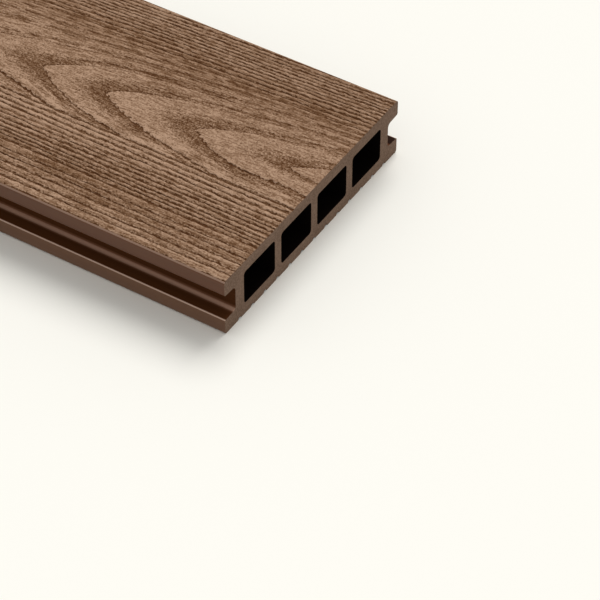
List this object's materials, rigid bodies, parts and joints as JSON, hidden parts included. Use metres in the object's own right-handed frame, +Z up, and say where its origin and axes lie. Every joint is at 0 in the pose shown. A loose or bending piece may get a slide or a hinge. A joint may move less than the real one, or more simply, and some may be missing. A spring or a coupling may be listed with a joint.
{
  "type": "decking board",
  "caption": "Hollow composite decking board with a wood-grain top face, a ribbed underside and clip grooves along both sides.",
  "frame": {"origin": "centre of the board's underside, on the plane that it rests on", "axes": "+X along the length, +Y across the width, +Z up through the wood-grain face"},
  "size_m": [2.2, 0.14, 0.03],
  "materials": {
    "composite": "wood-plastic composite, embossed wood grain on top, smooth extruded sides, matt"
  },
  "bodies": {
    "root": {"board": "composite"}
  },
  "joints": []
}
